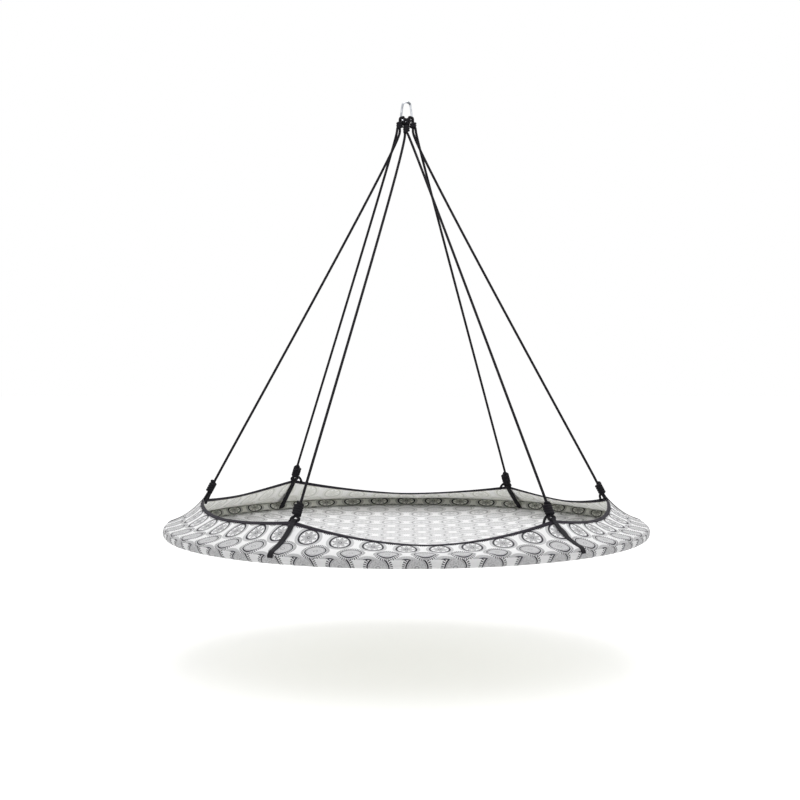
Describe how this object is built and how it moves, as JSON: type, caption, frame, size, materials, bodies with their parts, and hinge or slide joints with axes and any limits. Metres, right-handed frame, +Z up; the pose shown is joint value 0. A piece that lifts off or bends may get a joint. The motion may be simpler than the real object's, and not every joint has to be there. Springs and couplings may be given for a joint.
{
  "type": "round hanging daybed hammock",
  "caption": "Round hanging daybed: a shallow printed fabric pod on a hidden steel hoop, hung by knotted rope legs and webbing straps from one snap hook.",
  "frame": {"origin": "the place inside the top of the snap hook's wire where a ceiling eye carries it", "axes": "+Z up along the line of hang; the open low side of the pod faces -Y; +X is to the right seen from -Y"},
  "size_m": [1.8341, 1.8316, 1.691],
  "materials": {
    "steel": "bright polished steel",
    "tube": "black powder coat",
    "rope": "black braided rope",
    "webbing": "black woven webbing",
    "printed_fabric": "white woven outdoor fabric with a grey print of round medallions",
    "binding": "charcoal binding tape"
  },
  "bodies": {
    "hook": {"snap_hook_body": "steel", "gate_rivet": "steel", "hitch_left": "rope", "hitch_middle": "rope", "hitch_right": "rope"},
    "gate": {"snap_hook_gate": "steel", "gate_spring": "steel"},
    "pod": {"rope_right": "rope", "rope_back_right": "rope", "rope_back_left": "rope", "rope_left": "rope", "rope_front_left": "rope", "rope_front_right": "rope", "strap_right": "webbing", "strap_back_right": "webbing", "strap_back_left": "webbing", "strap_left": "webbing", "strap_front_left": "webbing", "strap_front_right": "webbing", "ring_tube_1": "tube", "ring_tube_2": "tube", "ring_tube_3": "tube", "ring_tube_4": "tube", "ring_tube_5": "tube", "ring_tube_6": "tube", "ring_sleeve": "printed_fabric", "wall_band": "printed_fabric", "floor_panel": "printed_fabric", "edge_binding": "binding"}
  },
  "joints": [
    {"name": "gate_hinge", "type": "hinge", "parent": "hook", "child": "gate", "pos_m": [0.01576, 0, -0.012], "axis": [0, 1, 0], "range_deg": [0, 25], "stiffness_Nm_per_rad": 0.15, "springref_deg": -28.65},
    {"name": "pod_swing", "type": "hinge", "parent": "hook", "child": "pod", "pos_m": [0, 0, -0.118], "axis": [1, 0, 0], "range_deg": [-25, 25]}
  ]
}
